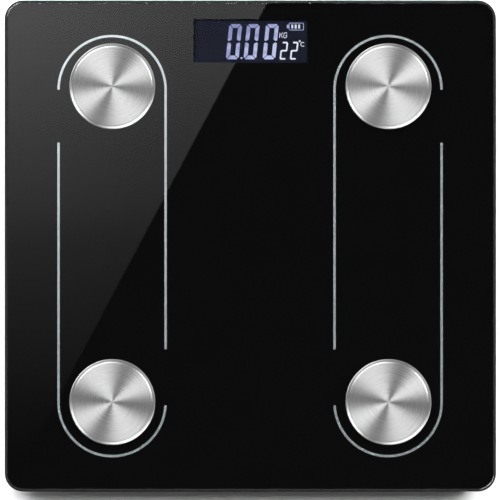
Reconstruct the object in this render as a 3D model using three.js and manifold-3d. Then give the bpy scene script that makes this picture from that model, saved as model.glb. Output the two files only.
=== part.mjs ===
// A digital bathroom scale with body-composition electrodes: a bevelled glass platform over a two-piece
// plastic housing, four load-cell supports, a display module, three AAA cells and the wiring between them.
// Millimetres. X is across the scale, Y runs from the heels to the toes (the display is at +Y), Z is up,
// and the origin is on the floor under the middle of the glass.
import * as THREE from "three";
import { mergeVertices } from "three/addons/utils/BufferGeometryUtils.js";
import Module from "manifold-3d";

// ---- Driving dimensions ----
const PLATFORM = { half: 150, corner: 11.3, thickness: 6, bevel: 2, bevelDrop: 1.6, arris: 0.4 };
const HOUSING = { half: 144, corner: 12, wall: 2, floor: 2.2, underCut: 4 };
const GAP = 0.3; // between pieces that touch on the real object
const THIN_GAP = 0.1; // between flat layers that are stacked and bonded

// ---- Levels above the floor ----
const COVER_BOTTOM = 5;
const COVER_FLOOR = COVER_BOTTOM + HOUSING.floor;
const PARTING = 11.8; // where the cover's side meets the frame's skirt
const PLATE_BOTTOM = 16.2; // the frame's top plate
const PLATE_TOP = 18.2;
const GLASS_BOTTOM = 19.6;
const GLASS_TOP = GLASS_BOTTOM + PLATFORM.thickness;
const FILM = { bottom: 19.2, top: 19.5 };
const TAPE = { bottom: 18.35, top: 19.05, width: 9 };
const BOARD = { bottom: 13, top: 14.6 };

// ---- Electrodes: shallow steel caps whose stud passes through the glass ----
const CAP = { radius: 26.15, height: 1.4, shoulder: 2.1, underside: THIN_GAP };
const STUD = { radius: 2, length: 11.6, glassHole: 3, filmHole: 6, frameHole: 8 };
const NUT = { flats: 7, height: 3.2, bore: 2.2, bottom: 14.9 };
const TERMINAL = { inner: 2.3, outer: 4.5, bottom: 18.3, top: 19.4 };
const ELECTRODE_X = 84.3;
const TOE_Y = 97.5;
const HEEL_Y = -95.3;
const ELECTRODES = [
  { name: "toe_left", x: -ELECTRODE_X, y: TOE_Y },
  { name: "toe_right", x: ELECTRODE_X, y: TOE_Y },
  { name: "heel_left", x: -ELECTRODE_X, y: HEEL_Y },
  { name: "heel_right", x: ELECTRODE_X, y: HEEL_Y },
];

// ---- Supports: a load cell in each corner, standing on a cup with a rubber pad ----
const SUPPORT_AT = 108;
const SUPPORTS = [
  { name: "toe_left", x: -SUPPORT_AT, y: SUPPORT_AT },
  { name: "toe_right", x: SUPPORT_AT, y: SUPPORT_AT },
  { name: "heel_left", x: -SUPPORT_AT, y: -SUPPORT_AT },
  { name: "heel_right", x: SUPPORT_AT, y: -SUPPORT_AT },
];
const PAD = { radius: 15, thickness: 2.4, recess: 0.5, ring: 10.5, edge: 0.6 };
const CUP = { radius: 16.8, rim: 1, seat: 2.5, top: 9.8, bossRadius: 5, hole: 17.4 };
const CUP_FLANGE = { radius: 18.2, bottom: COVER_FLOOR + GAP, top: 8.9 };
const CELL = { half: 18.5, bottom: 10.7, top: 13.3, tongue: 6, slot: 2.6, border: 5 };
const CORNER_POST = { inner: 15.6, outer: 19.4 };

// ---- Display: the window's middle is near the toe edge ----
const WINDOW = { halfX: 34.75, halfY: 13.3, y: 125.2 };
const PANEL = { halfX: 36, halfY: 14.6, bottom: 16.9, top: 19 };
const HOLDER = { inset: 0.4, wall: 1.1, bottom: 14.8, top: 18.8 };
const BACKLIGHT = { halfX: 35, y0: 113, y1: 139.3, bottom: 14.9, top: 16.7 };
const ZEBRA = { halfX: 33, y0: 110.8, y1: 112.7, bottom: 14.8, top: 16.7 };
const BOARD_OUTLINE = { halfX: 46, y0: 101, y1: 138 };
const DISPLAY_OPENING = { halfX: 44.5, y0: 106.5, y1: 141.6 };
const BOARD_SCREWS = [-41, 41];
const BOARD_SCREW_Y = 133;

// ---- Unit button under the board ----
const BUTTON = { x: 32, y: 112, radius: 4.5, bottom: 4.5, top: 8.5 };
const BUTTON_FLANGE = { radius: 6, bottom: 7.5, top: 8.2 };
const SWITCH = { half: 3, bottom: 9.8, plunger: 1.7, plungerBottom: 9.3 };

// ---- Battery bay: three AAA cells side by side along X, behind a hinged door ----
const BAY = { y: 35, halfX: 26.5, halfY: 17.1, wall: 1.7, ceiling: 17.7, ceilingTop: 18.7 };
const BAY_PAD = { halfX: 33, halfY: 24.6, top: 9 };
const BATTERY = { radius: 5.2, pitch: 11.1, z: 12.1, body: 43.3, nub: 1.2, nubRadius: 1.9, tip: 24.6 };
const DOOR = { halfX: 28.6, halfY: 20.2, thickness: 1.6, clearance: 0.4 };
const HINGE = { y: BAY.y - DOOR.halfY + DOOR.thickness / 2, z: COVER_BOTTOM + DOOR.thickness / 2 };
const LATCH = { halfX: 6, wall: 1, loopTop: 10.6, reach: 3.4 };
const CONTACT = { face: 25.9, back: 26.3, halfY: 4.4, bottom: 8, top: 16.4 };
const SPRING = { wire: 0.35, base: 3.3, tip: 2.1, turns: 3, reach: 5.5 };
const SOLDER_TAB = { halfY: 0.9, bottom: 15, top: 15.5, end: 30.2 };

// ---- Fasteners ----
const COVER_SCREW = { shank: 1.5, tip: 15, head: 3, headBottom: 5.7, headTop: 7.6, bore: 1.8, pocket: 4 };
const SCREW_BOSS = { coverRadius: 5.4, coverTop: 9.4, frameRadius: 3.6, frameBottom: 9.7 };
const COVER_SCREWS = [
  { name: "left", x: -131, y: 0 },
  { name: "right", x: 131, y: 0 },
  { name: "toe_left", x: -62, y: 131 },
  { name: "toe_right", x: 62, y: 131 },
  { name: "heel_left", x: -62, y: -131 },
  { name: "heel_right", x: 62, y: -131 },
];

// ---- Solids from three.js geometry, joined and cut ----
const wasm = await Module();
wasm.setup();

function toSolid(geometry) {
  const bare = geometry.clone();
  bare.deleteAttribute("normal");
  bare.deleteAttribute("uv");
  const merged = mergeVertices(bare, 1e-4);
  return new wasm.Manifold(
    new wasm.Mesh({
      numProp: 3,
      vertProperties: merged.attributes.position.array,
      triVerts: new Uint32Array(merged.index.array),
    }),
  );
}

function toGeometry(solid) {
  const mesh = solid.getMesh();
  const geometry = new THREE.BufferGeometry();
  geometry.setAttribute("position", new THREE.BufferAttribute(mesh.vertProperties, mesh.numProp));
  geometry.setIndex(new THREE.BufferAttribute(mesh.triVerts, 1));
  return geometry;
}

function join(first, ...others) {
  return toGeometry(others.reduce((sum, g) => sum.add(toSolid(g)), toSolid(first)));
}

function cut(from, ...tools) {
  return toGeometry(tools.reduce((rest, g) => rest.subtract(toSolid(g)), toSolid(from)));
}

// ---- Basic shapes ----
function block(x0, x1, y0, y1, z0, z1) {
  const box = new THREE.BoxGeometry(x1 - x0, y1 - y0, z1 - z0);
  return box.translate((x0 + x1) / 2, (y0 + y1) / 2, (z0 + z1) / 2);
}

function disc(radius, z0, z1, x = 0, y = 0, sides = 20) {
  const upright = new THREE.CylinderGeometry(radius, radius, z1 - z0, sides).rotateX(Math.PI / 2);
  return upright.translate(x, y, (z0 + z1) / 2);
}

// A solid of revolution about Z from [radius, height] points that run from the axis up the outside.
function turned(profile, sides = 24) {
  const points = profile.map(([radius, height]) => new THREE.Vector2(radius, height));
  return new THREE.LatheGeometry(points, sides).rotateX(Math.PI / 2);
}

// The corner points of a square with rounded corners, anticlockwise.
function squareRing(half, corner, steps = 8) {
  const points = [];
  for (let quarter = 0; quarter < 4; quarter += 1) {
    const centre = (Math.PI / 4) * (2 * quarter + 1);
    const x = Math.sign(Math.cos(centre)) * (half - corner);
    const y = Math.sign(Math.sin(centre)) * (half - corner);
    for (let step = 0; step <= steps; step += 1) {
      const angle = (Math.PI / 2) * (quarter + step / steps);
      points.push([x + corner * Math.cos(angle), y + corner * Math.sin(angle)]);
    }
  }
  return points;
}

// A slab whose outline shrinks by `inset` at each level: [{ z, inset }], from the bottom up.
function slab(half, corner, levels) {
  const rings = levels.map(({ inset }) => squareRing(half - inset, corner - inset));
  const count = rings[0].length;
  const positions = rings.flatMap((ring, level) => ring.flatMap(([x, y]) => [x, y, levels[level].z]));
  const faces = [];
  for (let level = 0; level + 1 < rings.length; level += 1) {
    for (let i = 0; i < count; i += 1) {
      const a = level * count + i;
      const b = level * count + ((i + 1) % count);
      faces.push(a, b, b + count, a, b + count, a + count);
    }
  }
  const top = (rings.length - 1) * count;
  for (let i = 1; i + 1 < count; i += 1) {
    faces.push(0, i + 1, i, top, top + i, top + i + 1);
  }
  const geometry = new THREE.BufferGeometry();
  geometry.setAttribute("position", new THREE.Float32BufferAttribute(positions, 3));
  geometry.setIndex(faces);
  return geometry;
}

// A round wire through the given points, with flat ends.
function wire(points, radius, steps, sides = 5) {
  const section = new THREE.Shape();
  for (let i = 0; i < sides; i += 1) {
    const angle = (2 * Math.PI * i) / sides;
    section[i ? "lineTo" : "moveTo"](radius * Math.cos(angle), radius * Math.sin(angle));
  }
  const path = new THREE.CatmullRomCurve3(
    points.map(([x, y, z]) => new THREE.Vector3(x, y, z)),
    false,
    "centripetal",
  );
  return new THREE.ExtrudeGeometry(section, { steps, extrudePath: path, bevelEnabled: false });
}

// ---- Finishes: [colour, roughness, metalness] ----
const FINISHES = {
  glass: [0x0b0f0e, 0.03, 0],
  film: [0x050505, 0.4, 0],
  tape: [0xd8d8d0, 0.8, 0],
  housing: [0x17181a, 0.6, 0],
  stainless: [0xc4c6c8, 0.28, 1],
  nickel: [0xb8b4a8, 0.3, 1],
  cellSteel: [0x9a9c9e, 0.45, 1],
  rubber: [0x2a2b2c, 0.9, 0],
  board: [0x1c5a34, 0.5, 0],
  panel: [0x14161f, 0.1, 0],
  backlight: [0xe8ecf4, 0.5, 0],
  elastomer: [0x8c8880, 0.8, 0],
  epoxy: [0x0c0c0c, 0.35, 0],
  shield: [0xaab0b4, 0.4, 1],
  button: [0x4a4c50, 0.55, 0],
  jacket: [0x2c5a9c, 0.35, 0],
  redWire: [0xb02018, 0.5, 0],
  blackWire: [0x111111, 0.5, 0],
  whiteWire: [0xdadada, 0.5, 0],
};

function mesh(name, geometry, finish) {
  const [color, roughness, metalness] = FINISHES[finish];
  const made = new THREE.Mesh(geometry, new THREE.MeshStandardMaterial({ color, roughness, metalness }));
  made.name = name;
  return made;
}

function groupOf(...members) {
  const group = new THREE.Group();
  group.add(...members);
  return group;
}

// ---- Platform ----
function glassPlatform() {
  const { half, corner, thickness, bevel, bevelDrop, arris } = PLATFORM;
  const body = slab(half, corner, [
    { z: 0, inset: arris },
    { z: arris, inset: 0 },
    { z: thickness - bevelDrop, inset: 0 },
    { z: thickness, inset: bevel },
  ]);
  const holes = ELECTRODES.map(({ x, y }) => disc(STUD.glassHole, -1, thickness + 1, x, y, 16));
  return cut(body, ...holes);
}

function backingFilm() {
  const inset = 1.2;
  const sheet = slab(PLATFORM.half, PLATFORM.corner, [
    { z: FILM.bottom, inset },
    { z: FILM.top, inset },
  ]);
  const { halfX, halfY, y } = WINDOW;
  const window = block(-halfX, halfX, y - halfY, y + halfY, FILM.bottom - 1, FILM.top + 1);
  const holes = ELECTRODES.map((at) => disc(STUD.filmHole, FILM.bottom - 1, FILM.top + 1, at.x, at.y, 16));
  return cut(sheet, window, ...holes);
}

// Foam tape in a square ring along the frame's rim, with its toe side under the edge of the display.
function bondTape() {
  const outer = HOUSING.half - 1;
  const inner = outer - TAPE.width;
  const flat = (inset, below = 0) => [
    { z: TAPE.bottom - below, inset },
    { z: TAPE.top + below, inset },
  ];
  const ring = slab(HOUSING.half, HOUSING.corner, flat(1));
  const middle = block(-inner, inner, -inner, inner, TAPE.bottom - 1, TAPE.top + 1);
  const { halfX, y0, y1 } = DISPLAY_OPENING;
  const display = block(-halfX, halfX, y0, HOUSING.half, TAPE.bottom - 1, TAPE.top + 1);
  return cut(ring, middle, display);
}

// ---- Housing ----
function topFrame() {
  const { half, corner, wall } = HOUSING;
  const shell = slab(half, corner, [
    { z: PARTING + GAP, inset: 0 },
    { z: PLATE_TOP - 0.5, inset: 0 },
    { z: PLATE_TOP, inset: 0.5 },
  ]);
  const hollow = slab(half - wall, corner - wall, [
    { z: PARTING - 1, inset: 0 },
    { z: PLATE_BOTTOM, inset: 0 },
  ]);
  const opening = DISPLAY_OPENING;
  const bay = { x: BAY.halfX + BAY.wall + 1.3, y: BAY.halfY + BAY.wall + 1.6 };
  const through = [PLATE_BOTTOM - 1, PLATE_TOP + 1];
  const skirted = cut(
    shell,
    hollow,
    block(-opening.halfX, opening.halfX, opening.y0, opening.y1, ...through),
    block(-bay.x, bay.x, BAY.y - bay.y, BAY.y + bay.y, ...through),
    ...ELECTRODES.map(({ x, y }) => disc(STUD.frameHole, ...through, x, y, 12)),
  );
  const { frameRadius, frameBottom } = SCREW_BOSS;
  const bosses = COVER_SCREWS.map(({ x, y }) => disc(frameRadius, frameBottom, PLATE_BOTTOM + 1, x, y, 12));
  const postBottom = CELL.top + 2 * THIN_GAP;
  const posts = SUPPORTS.flatMap(({ x, y }) => cornerPosts(x, y, postBottom, PLATE_BOTTOM + 1));
  const bores = COVER_SCREWS.map(({ x, y }) => disc(COVER_SCREW.bore, frameBottom - 1, 15.6, x, y, 8));
  return cut(join(skirted, ...bosses, ...posts), ...bores);
}

// Four square posts at the corners of a load cell, which is clamped between the cover's and the frame's.
function cornerPosts(x, y, z0, z1) {
  const { inner, outer } = CORNER_POST;
  return [-1, 1].flatMap((sx) =>
    [-1, 1].map((sy) => {
      const [x0, x1] = [x + sx * inner, x + sx * outer].sort((a, b) => a - b);
      const [y0, y1] = [y + sy * inner, y + sy * outer].sort((a, b) => a - b);
      return block(x0, x1, y0, y1, z0, z1);
    }),
  );
}

function bottomCover() {
  const { half, corner, wall, underCut } = HOUSING;
  const outer = slab(half, corner, [
    { z: COVER_BOTTOM, inset: underCut },
    { z: COVER_BOTTOM + 0.6, inset: underCut - 1.4 },
    { z: COVER_BOTTOM + 3, inset: 0.6 },
    { z: COVER_BOTTOM + 4.4, inset: 0 },
    { z: PARTING, inset: 0 },
  ]);
  const lip = slab(half, corner, [
    { z: PARTING - 2, inset: wall + GAP },
    { z: PARTING + 2.2, inset: wall + GAP },
  ]);
  const hollow = slab(half, corner, [
    { z: COVER_FLOOR, inset: underCut + 1.6 },
    { z: COVER_BOTTOM + 4.4, inset: wall + 1.8 },
    { z: PARTING + 4, inset: wall + 1.8 },
  ]);
  const { coverRadius, coverTop } = SCREW_BOSS;
  const bosses = COVER_SCREWS.map(({ x, y }) => disc(coverRadius, COVER_BOTTOM + 1, coverTop, x, y, 12));
  const posts = SUPPORTS.flatMap(({ x, y }) => cornerPosts(x, y, COVER_BOTTOM + 1, CELL.bottom - THIN_GAP));
  const standoffTop = BOARD.bottom - 0.2;
  const standoffs = BOARD_SCREWS.map((x) => disc(3.2, COVER_BOTTOM + 1, standoffTop, x, BOARD_SCREW_Y, 12));
  const filled = join(cut(join(outer, lip), hollow), ...bosses, ...posts, ...standoffs, ...bayBlocks());
  return cut(filled, ...coverOpenings(), ...bayCuts());
}

function bayBlocks() {
  const { y, halfX, halfY, wall, ceilingTop } = BAY;
  const pad = BAY_PAD;
  const latchPad = block(-LATCH.halfX - 4, LATCH.halfX + 4, y, y + pad.halfY + 4, COVER_BOTTOM + 1, 12.2);
  return [
    block(-halfX - wall, halfX + wall, y - halfY - wall, y + halfY + wall, COVER_BOTTOM + 1, ceilingTop),
    block(-pad.halfX, pad.halfX, y - pad.halfY, y + pad.halfY, COVER_BOTTOM + 1, pad.top),
    latchPad,
  ];
}

function bayCuts() {
  const { y, halfX, halfY, ceiling } = BAY;
  const edge = DOOR.clearance;
  const rebate = [COVER_BOTTOM - 1, COVER_BOTTOM + DOOR.thickness + edge];
  const outerY = y + DOOR.halfY;
  const latchX = LATCH.halfX + 1;
  const tabY = SOLDER_TAB.halfY + 0.4;
  const slot = (side, row) =>
    block(
      Math.min(side * (halfX - 1), side * (halfX + 4)),
      Math.max(side * (halfX - 1), side * (halfX + 4)),
      y + row * BATTERY.pitch - tabY,
      y + row * BATTERY.pitch + tabY,
      SOLDER_TAB.bottom - 0.4,
      SOLDER_TAB.top + 0.4,
    );
  return [
    block(-halfX, halfX, y - halfY, y + halfY, COVER_BOTTOM - 1, ceiling),
    block(-DOOR.halfX - edge, DOOR.halfX + edge, y - DOOR.halfY - edge, outerY + edge, ...rebate),
    block(-latchX, latchX, outerY - LATCH.wall - GAP, outerY + LATCH.reach + 1.4, COVER_BOTTOM - 1, 11.2),
    slot(1, 1),
    slot(-1, -1),
  ];
}

function coverOpenings() {
  const below = COVER_BOTTOM - 1;
  const cups = SUPPORTS.map(({ x, y }) => disc(CUP.hole, below, COVER_FLOOR + 1, x, y, 32));
  const { pocket, headTop, bore } = COVER_SCREW;
  const pockets = COVER_SCREWS.map(({ x, y }) => disc(pocket, below, headTop + 0.2, x, y, 12));
  const bores = COVER_SCREWS.map(({ x, y }) => disc(bore, below, SCREW_BOSS.coverTop + 1, x, y, 8));
  const pilotTop = BOARD.bottom + 1;
  const pilots = BOARD_SCREWS.map((x) => disc(1.1, COVER_FLOOR + 0.6, pilotTop, x, BOARD_SCREW_Y, 10));
  const buttonHole = disc(BUTTON.radius + GAP, below, COVER_FLOOR + 1, BUTTON.x, BUTTON.y, 16);
  const fingerDish = disc(BUTTON.radius + 4, below, COVER_BOTTOM + 0.7, BUTTON.x, BUTTON.y, 16);
  return [...cups, ...pockets, ...bores, ...pilots, buttonHole, fingerDish];
}

// ---- Electrodes ----
function electrodeCap() {
  const { radius, height, shoulder, underside } = CAP;
  return turned(
    [
      [0, -STUD.length],
      [STUD.radius, -STUD.length],
      [STUD.radius, underside],
      [radius, underside],
      [radius, height * 0.45],
      [radius - shoulder * 0.4, height * 0.88],
      [radius - shoulder, height],
      [0, height],
    ],
    40,
  );
}

function studNut() {
  const { flats, height, bore } = NUT;
  const hexagon = disc(flats / Math.sqrt(3), 0, height, 0, 0, 6);
  return cut(hexagon, disc(bore, -1, height + 1, 0, 0, 12));
}

// A ring terminal on the stud with its lead, from the electrode to the board.
function electrodeLead({ x, y }) {
  const side = Math.sign(x);
  const at = (distance) => x - side * distance;
  const ring = cut(
    disc(TERMINAL.outer, TERMINAL.bottom, TERMINAL.top, x, y, 14),
    disc(TERMINAL.inner, TERMINAL.bottom - 1, TERMINAL.top + 1, x, y, 14),
  );
  const drop = [
    [at(3.6), y, 18.85],
    [at(5.4), y, 18.5],
    [at(6.5), y, 16.8],
    [at(6.7), y, 14.4],
  ];
  const toBoard =
    y > 0
      ? [
          [side * 73, 98.5, 12.6],
          [side * 47, 98.5, 12.5],
          [side * 42.5, 100.5, 12.1],
          [side * 42, 104, 12.1],
        ]
      : [
          [side * 73, -90, 12.4],
          [side * 70, -78, 12.4],
          [side * 70, 78, 12.4],
          [side * 62, 91, 12.4],
          [side * 42, 93, 12.4],
          [side * 36.5, 96, 12.2],
          [side * 36, 104, 12.1],
        ];
  return join(ring, wire([...drop, ...toBoard], 0.7, y > 0 ? 16 : 20));
}

// ---- Supports ----
function supportPad() {
  const { radius, thickness, recess, ring, edge } = PAD;
  return turned(
    [
      [0, recess],
      [ring - recess, recess],
      [ring, 0],
      [radius - edge, 0],
      [radius, edge],
      [radius, thickness],
      [0, thickness],
    ],
    28,
  );
}

function supportCup() {
  const { radius, rim, seat, bossRadius, top } = CUP;
  const flange = CUP_FLANGE;
  return turned(
    [
      [0, seat],
      [PAD.radius + 0.2, seat],
      [PAD.radius + 0.2, rim],
      [radius - 0.8, rim],
      [radius, rim + 0.8],
      [radius, flange.bottom],
      [flange.radius, flange.bottom],
      [flange.radius, flange.top],
      [bossRadius, flange.top],
      [bossRadius, top],
      [0, top],
    ],
    28,
  );
}

// A square steel plate with a U-shaped slot that frees its middle tongue to bend.
function loadCell() {
  const { half, bottom, top, tongue, slot, border } = CELL;
  const inside = half - border;
  const span = [bottom - 1, top + 1];
  return cut(
    block(-half, half, -half, half, bottom, top),
    block(-inside, inside, inside - slot, inside, ...span),
    block(-inside, -tongue, -inside, inside, ...span),
    block(tongue, inside, -inside, inside, ...span),
  );
}

// A load cell's three-core cable, from the top of its tongue to the board.
function cellCable({ x, y }) {
  const side = Math.sign(x);
  const start = [
    [x - side * 3, y, 14.7],
    [x - side * 19.6, y, 14.7],
    [x - side * 24, y, 12.4],
    [x - side * 28, y, 9.8],
  ];
  const route =
    y > 0
      ? [
          [side * 70, 110, 9],
          [side * 54, 102, 9],
          [side * 24, 97, 9],
          [side * 18.5, 98.5, 10.4],
          [side * 18, 104, 11.7],
        ]
      : [
          [side * 66, -98, 9],
          [side * 64, -84, 9],
          [side * 64, 78, 9],
          [side * 52, 89, 9],
          [side * 18, 91, 9],
          [side * 12.5, 95, 9.6],
          [side * 12, 104, 11.7],
        ];
  return wire([...start, ...route], 1.1, y > 0 ? 16 : 20);
}

// ---- Display and board ----
function mainBoard() {
  const { halfX, y0, y1 } = BOARD_OUTLINE;
  const { bottom, top } = BOARD;
  const holes = BOARD_SCREWS.map((x) => disc(1.5, bottom - 1, top + 1, x, BOARD_SCREW_Y, 12));
  return cut(block(-halfX, halfX, y0, y1, bottom, top), ...holes);
}

function displayPanel() {
  const { halfX, halfY, bottom, top } = PANEL;
  return block(-halfX, halfX, WINDOW.y - halfY, WINDOW.y + halfY, bottom, top);
}

function displayHolder() {
  const { inset, wall, bottom, top } = HOLDER;
  const [innerX, innerY] = [PANEL.halfX + inset, PANEL.halfY + inset];
  const [outerX, outerY] = [innerX + wall, innerY + wall];
  return cut(
    block(-outerX, outerX, WINDOW.y - outerY, WINDOW.y + outerY, bottom, top),
    block(-innerX, innerX, WINDOW.y - innerY, WINDOW.y + innerY, bottom - 1, top + 1),
  );
}

function displayBacklight() {
  const { halfX, y0, y1, bottom, top } = BACKLIGHT;
  return block(-halfX, halfX, y0, y1, bottom, top);
}

function zebraConnector() {
  const { halfX, y0, y1, bottom, top } = ZEBRA;
  return block(-halfX, halfX, y0, y1, bottom, top);
}

// The controller chip is bonded bare to the underside of the board and covered with a drop of epoxy.
function controllerChip() {
  return turned(
    [
      [0, 0],
      [3.5, 0.3],
      [6, 1.1],
      [6.6, 1.7],
      [0, 1.7],
    ],
    16,
  );
}

function radioModule() {
  const carrier = block(-8, 8, -10, 10, 1.4, 2.2);
  const can = block(-6.5, 6.5, -8.5, 3.5, 0, 1.6);
  return join(carrier, can);
}

function tactSwitch() {
  const { half, bottom, plunger, plungerBottom } = SWITCH;
  const top = BOARD.bottom - 0.2;
  return join(
    block(-half, half, -half, half, bottom, top),
    disc(plunger, plungerBottom, bottom + 1, 0, 0, 12),
  );
}

function unitButton() {
  const { radius, bottom, top } = BUTTON;
  const flange = BUTTON_FLANGE;
  return turned(
    [
      [0, bottom + 0.3],
      [radius - 1.6, bottom + 0.15],
      [radius - 0.6, bottom],
      [radius, bottom + 0.6],
      [radius, flange.bottom],
      [flange.radius, flange.bottom],
      [flange.radius, flange.top],
      [2, flange.top],
      [2, top],
      [0, top],
    ],
    16,
  );
}

// ---- Battery bay ----
// A cell along X whose positive tip is at +tip, or turned end for end when `flipped`.
function batteryCell(flipped) {
  const { radius, body, nub, nubRadius, tip } = BATTERY;
  const end = tip - nub;
  const cell = turned(
    [
      [0, end - body],
      [radius - 0.5, end - body],
      [radius, end - body + 0.5],
      [radius, end - 0.5],
      [radius - 0.5, end],
      [nubRadius, end],
      [nubRadius, tip],
      [0, tip],
    ],
    16,
  );
  return cell.rotateY(flipped ? -Math.PI / 2 : Math.PI / 2);
}

// A coil spring on a contact plate, narrowing from the plate at +X towards the cell.
function contactSpring(row) {
  const { wire: gauge, base, tip, turns, reach } = SPRING;
  const stepsPerTurn = 8;
  const points = [];
  for (let i = 0; i <= turns * stepsPerTurn; i += 1) {
    const share = i / (turns * stepsPerTurn);
    const angle = 2 * Math.PI * turns * share;
    const radius = base + (tip - base) * share;
    const x = CONTACT.face - share * (reach - gauge);
    points.push([x, row * BATTERY.pitch + radius * Math.cos(angle), BATTERY.z + radius * Math.sin(angle)]);
  }
  return wire(points, gauge, turns * stepsPerTurn, 4);
}

// A stamped plate on the +X wall over one or two cells, with a dimple for a positive tip, a spring for a
// negative end and a solder tab where a lead leaves the pack. Rows are counted from the middle cell.
function contactPlate({ dimpleRow, springRow, tabRow }) {
  const { face, back, halfY, bottom, top } = CONTACT;
  const rows = [dimpleRow, springRow].filter((row) => row !== undefined);
  const y0 = Math.min(...rows) * BATTERY.pitch - halfY;
  const y1 = Math.max(...rows) * BATTERY.pitch + halfY;
  const pieces = [block(face, back, y0, y1, bottom, top)];
  if (dimpleRow !== undefined) {
    const dimple = turned([[0, -1], [1.8, -1], [2.6, 0.2], [0, 0.2]], 12).rotateY(Math.PI / 2);
    pieces.push(dimple.translate(face, dimpleRow * BATTERY.pitch, BATTERY.z));
  }
  if (springRow !== undefined) pieces.push(contactSpring(springRow));
  if (tabRow !== undefined) {
    const { halfY: tab, bottom: z0, top: z1, end } = SOLDER_TAB;
    pieces.push(block(face, end, tabRow * BATTERY.pitch - tab, tabRow * BATTERY.pitch + tab, z0, z1));
  }
  return join(...pieces);
}

// The door is modelled closed, about its hinge line, with a rounded hinge edge and a folded latch spring.
function batteryDoor() {
  const radius = DOOR.thickness / 2;
  const length = 2 * DOOR.halfY - radius;
  const panelShape = new THREE.Shape();
  panelShape.moveTo(0, -radius);
  panelShape.lineTo(length, -radius);
  panelShape.lineTo(length, radius);
  panelShape.lineTo(0, radius);
  panelShape.absarc(0, 0, radius, Math.PI / 2, (3 * Math.PI) / 2, false);
  const panel = extrudeAlongX(panelShape, DOOR.halfX, 4);

  const { wall, loopTop, reach, halfX } = LATCH;
  const rise = loopTop - HINGE.z;
  const latchShape = new THREE.Shape();
  latchShape.moveTo(length - wall, -radius);
  latchShape.lineTo(length, -radius);
  latchShape.lineTo(length, rise - wall);
  latchShape.lineTo(length + reach - wall, rise - wall);
  latchShape.lineTo(length + reach - wall, -radius);
  latchShape.lineTo(length + reach, -radius);
  latchShape.lineTo(length + reach, rise - wall * 0.5);
  latchShape.lineTo(length + reach - wall * 0.5, rise);
  latchShape.lineTo(length - wall * 0.5, rise);
  latchShape.lineTo(length - wall, rise - wall * 0.5);
  const latch = extrudeAlongX(latchShape, halfX - 0.6, 1);

  const grips = [12, 9.6, 7.2].map((back) => {
    const y = length - back;
    return block(-9, 9, y, y + 0.8, -radius - 1, -radius + 0.35);
  });
  return cut(join(panel, latch), ...grips);
}

// Extrudes a [y, z] outline to both sides of the YZ plane.
function extrudeAlongX(shape, half, curveSegments) {
  const geometry = new THREE.ExtrudeGeometry(shape, { depth: 2 * half, bevelEnabled: false, curveSegments });
  geometry.rotateY(Math.PI / 2).rotateX(Math.PI / 2);
  return geometry.translate(-half, 0, 0);
}

// The leads from the pack's two solder tabs to the board.
function batteryLead(side, row) {
  const y = BAY.y + row * BATTERY.pitch;
  return wire(
    [
      [side * (SOLDER_TAB.end + GAP), y, 15.25],
      [side * 33, y + 1, 15],
      [side * 36, y + 6, 13.6],
      [side * 36, 74, 12.6],
      [side * 28, 84, 12.4],
      [side * 9, 92, 12.3],
      [side * 6.3, 96, 12.1],
      [side * 6, 104, 12.1],
    ],
    0.7,
    16,
  );
}

// ---- Fasteners ----
// A pan-head screw pointing up, with a cross recess in its head.
function panScrew({ shank, head, headHeight, length, sides = 12 }) {
  const recess = head * 0.22;
  const screw = turned(
    [
      [0, -headHeight],
      [head * 0.6, -headHeight],
      [head, -headHeight * 0.45],
      [head, 0],
      [shank, 0],
      [shank, length - shank],
      [shank * 0.3, length],
      [0, length],
    ],
    sides,
  );
  const depth = [-headHeight - 1, -headHeight * 0.45];
  return cut(
    screw,
    block(-head * 0.6, head * 0.6, -recess, recess, ...depth),
    block(-recess, recess, -head * 0.6, head * 0.6, ...depth),
  );
}

function coverScrew() {
  const { shank, tip, head, headBottom, headTop } = COVER_SCREW;
  return panScrew({ shank, head, headHeight: headTop - headBottom, length: tip - headTop });
}

// ---- Assembly ----
function placed(piece, x, y, z = 0) {
  piece.position.set(x, y, z);
  return piece;
}

const capGeometry = electrodeCap();
const nutGeometry = studNut();
const electrodes = ELECTRODES.map((at) =>
  groupOf(
    placed(mesh(`electrode_${at.name}`, capGeometry, "stainless"), at.x, at.y, GLASS_TOP),
    placed(mesh(`electrode_nut_${at.name}`, nutGeometry, "nickel"), at.x, at.y, NUT.bottom),
    mesh(`electrode_lead_${at.name}`, electrodeLead(at), "whiteWire"),
  ),
);
const platform = groupOf(
  placed(mesh("glass_platform", glassPlatform(), "glass"), 0, 0, GLASS_BOTTOM),
  mesh("backing_film", backingFilm(), "film"),
  mesh("bond_tape", bondTape(), "tape"),
  ...electrodes,
);

const screwGeometry = coverScrew();
const housing = groupOf(
  mesh("top_frame", topFrame(), "housing"),
  mesh("bottom_cover", bottomCover(), "housing"),
  ...COVER_SCREWS.map(({ name, x, y }) =>
    placed(mesh(`cover_screw_${name}`, screwGeometry, "nickel"), x, y, COVER_SCREW.headTop),
  ),
);

const padGeometry = supportPad();
const cupGeometry = supportCup();
const cellGeometry = loadCell();
const supports = SUPPORTS.map((at) =>
  groupOf(
    placed(
      groupOf(
        mesh(`support_pad_${at.name}`, padGeometry, "rubber"),
        mesh(`support_cup_${at.name}`, cupGeometry, "housing"),
        mesh(`load_cell_${at.name}`, cellGeometry, "cellSteel"),
      ),
      at.x,
      at.y,
    ),
    mesh(`cell_cable_${at.name}`, cellCable(at), "whiteWire"),
  ),
);

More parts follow.
